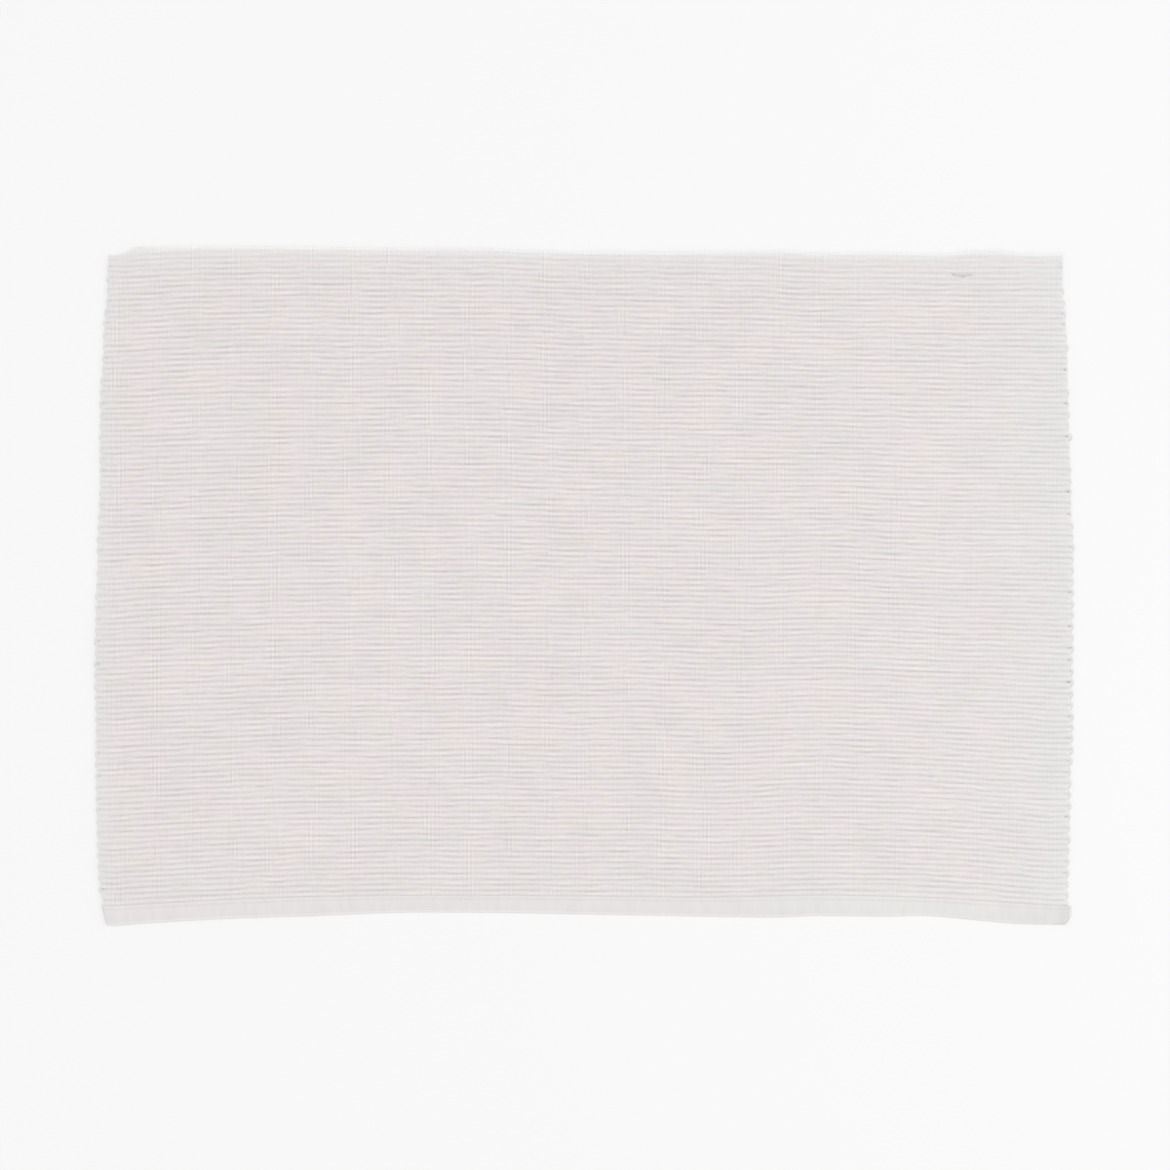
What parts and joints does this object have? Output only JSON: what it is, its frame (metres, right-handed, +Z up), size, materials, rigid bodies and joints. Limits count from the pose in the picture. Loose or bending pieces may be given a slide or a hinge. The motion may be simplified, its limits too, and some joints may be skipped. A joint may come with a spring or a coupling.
{
  "type": "ribbed cotton placemat",
  "caption": "Flat oblong table mat of ribbed woven cotton, with looped selvedges at its short sides, a flat hem along the front and a rolled hem along the back.",
  "frame": {"origin": "on the table, under the middle of the mat's outline", "axes": "+X along the ribs and the long sides, +Y towards the rolled hem at the back, +Z up off the table"},
  "size_m": [0.4812, 0.3314, 0.0023],
  "materials": {
    "off_white_cotton": "woven, matt"
  },
  "bodies": {
    "root": {"placemat": "off_white_cotton"}
  },
  "joints": []
}
